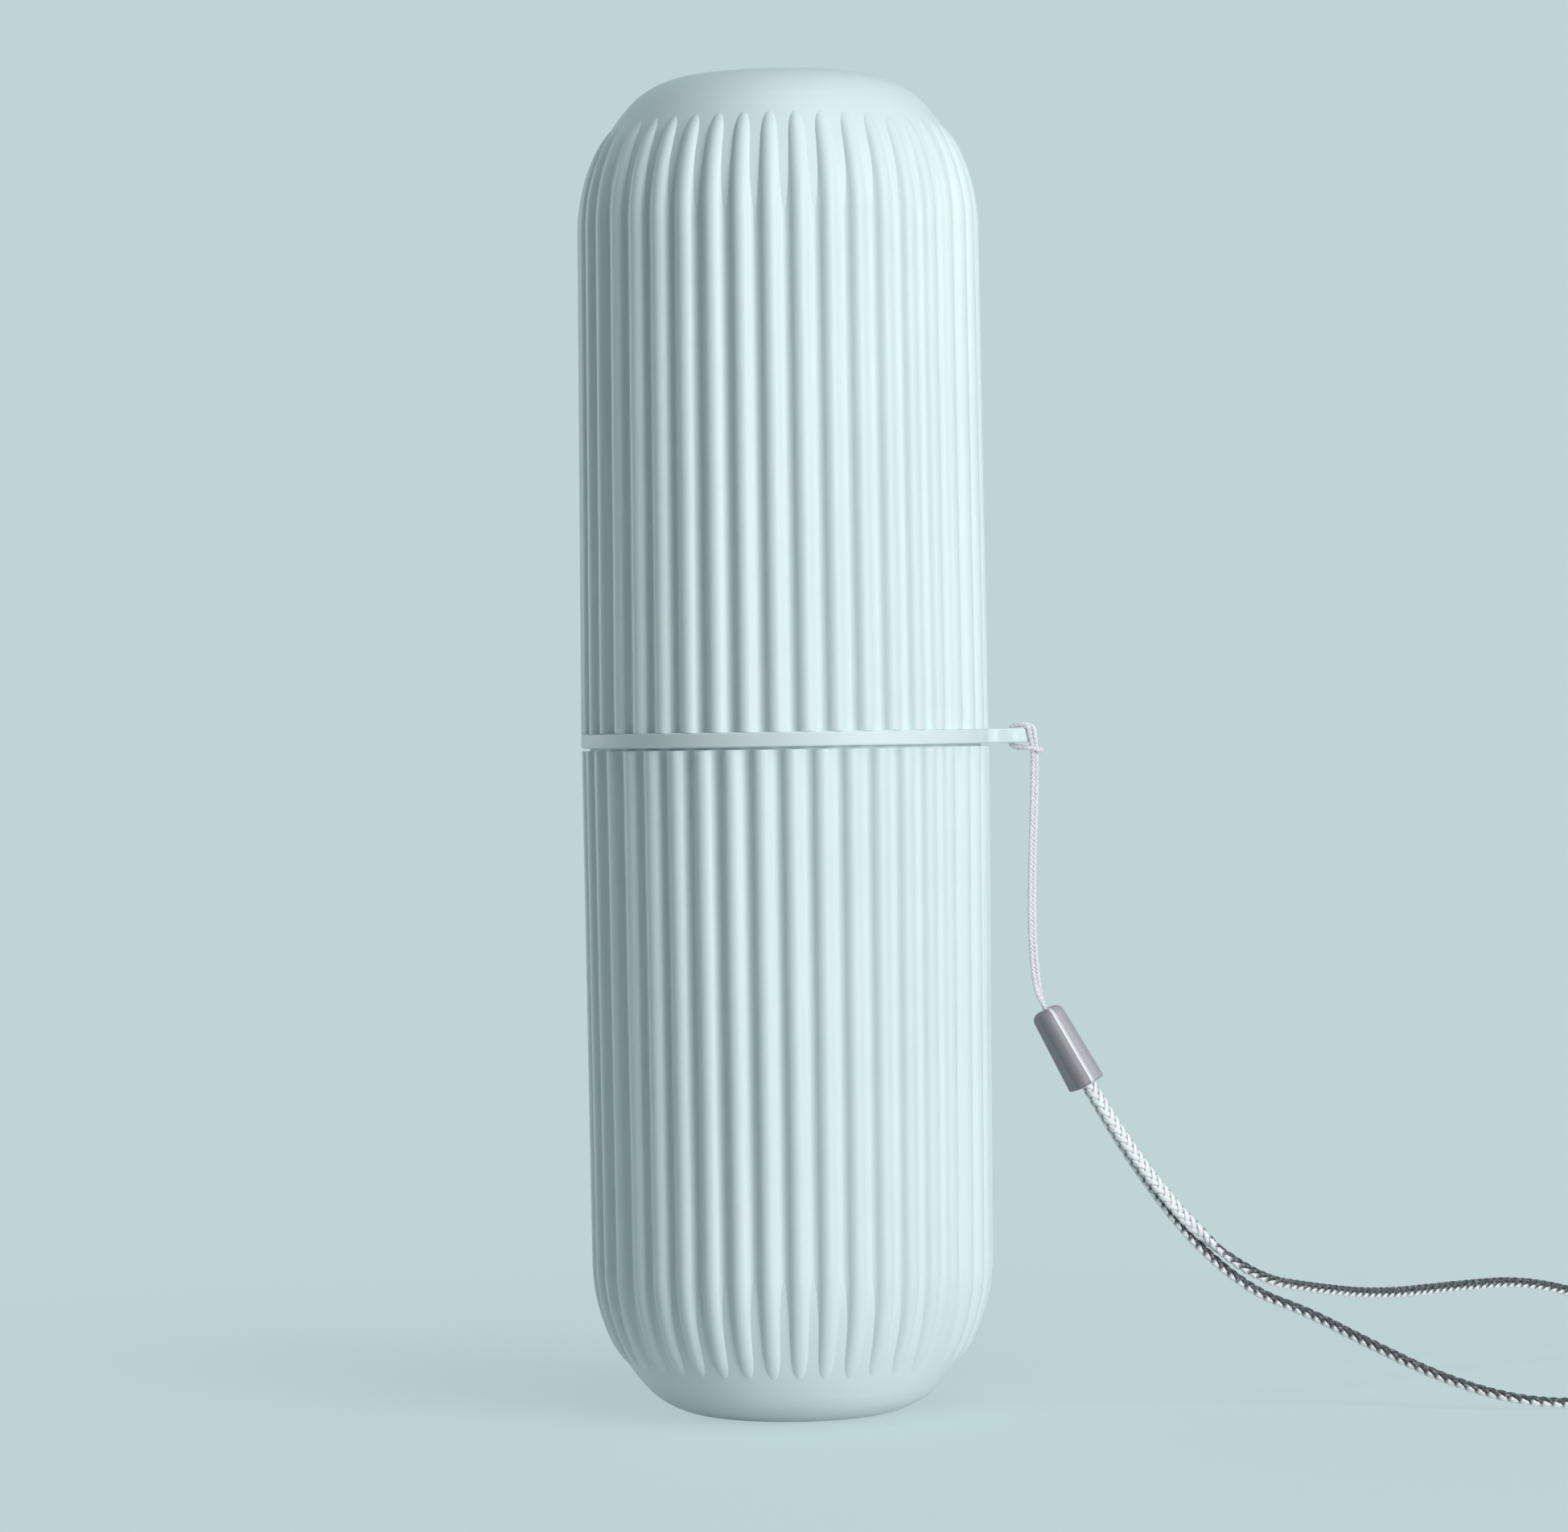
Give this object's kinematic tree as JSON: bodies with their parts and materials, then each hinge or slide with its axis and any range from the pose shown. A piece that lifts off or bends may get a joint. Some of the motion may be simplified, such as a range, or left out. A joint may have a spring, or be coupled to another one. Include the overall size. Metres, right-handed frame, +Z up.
{
  "type": "toothbrush travel case",
  "caption": "Ribbed capsule case in two push-fit halves for a toothbrush, with a flat swivel ring between them and a wrist lanyard on the ring's ear.",
  "frame": {"origin": "middle of the case's flat foot, on the surface that it stands on", "axes": "+Z up along the case's axis, +X towards the ring's ear and the lanyard, +Y away from the viewer"},
  "size_m": [0.2037, 0.0905, 0.2022],
  "materials": {
    "mint_plastic": "moulded polypropylene, fine satin",
    "nylon_string": "thin braided nylon string",
    "grey_plastic": "moulded, satin",
    "crimp_steel": "plain pressed band",
    "braided_cord": "round braid of white and grey yarn"
  },
  "bodies": {
    "cup": {"lower_cup": "mint_plastic"},
    "cover": {"upper_cover": "mint_plastic"},
    "ring": {"strap_ring": "mint_plastic"},
    "lanyard": {"string_loop": "nylon_string", "clip_front_shell": "grey_plastic", "clip_back_shell": "grey_plastic", "cord_crimp": "crimp_steel", "wrist_cord": "braided_cord"}
  },
  "joints": [
    {"name": "cover_lift", "type": "slide", "parent": "cup", "child": "cover", "axis": [0, 0, 1], "range_m": [0, 0.06]},
    {"name": "ring_swivel", "type": "hinge", "parent": "cup", "child": "ring", "pos_m": [0, 0, 0.1021], "axis": [0, 0, 1], "continuous": true},
    {"name": "lanyard_swing", "type": "hinge", "parent": "ring", "child": "lanyard", "pos_m": [0.0361, 0, 0.1021], "axis": [0, -1, 0], "range_deg": [0, 60]}
  ]
}
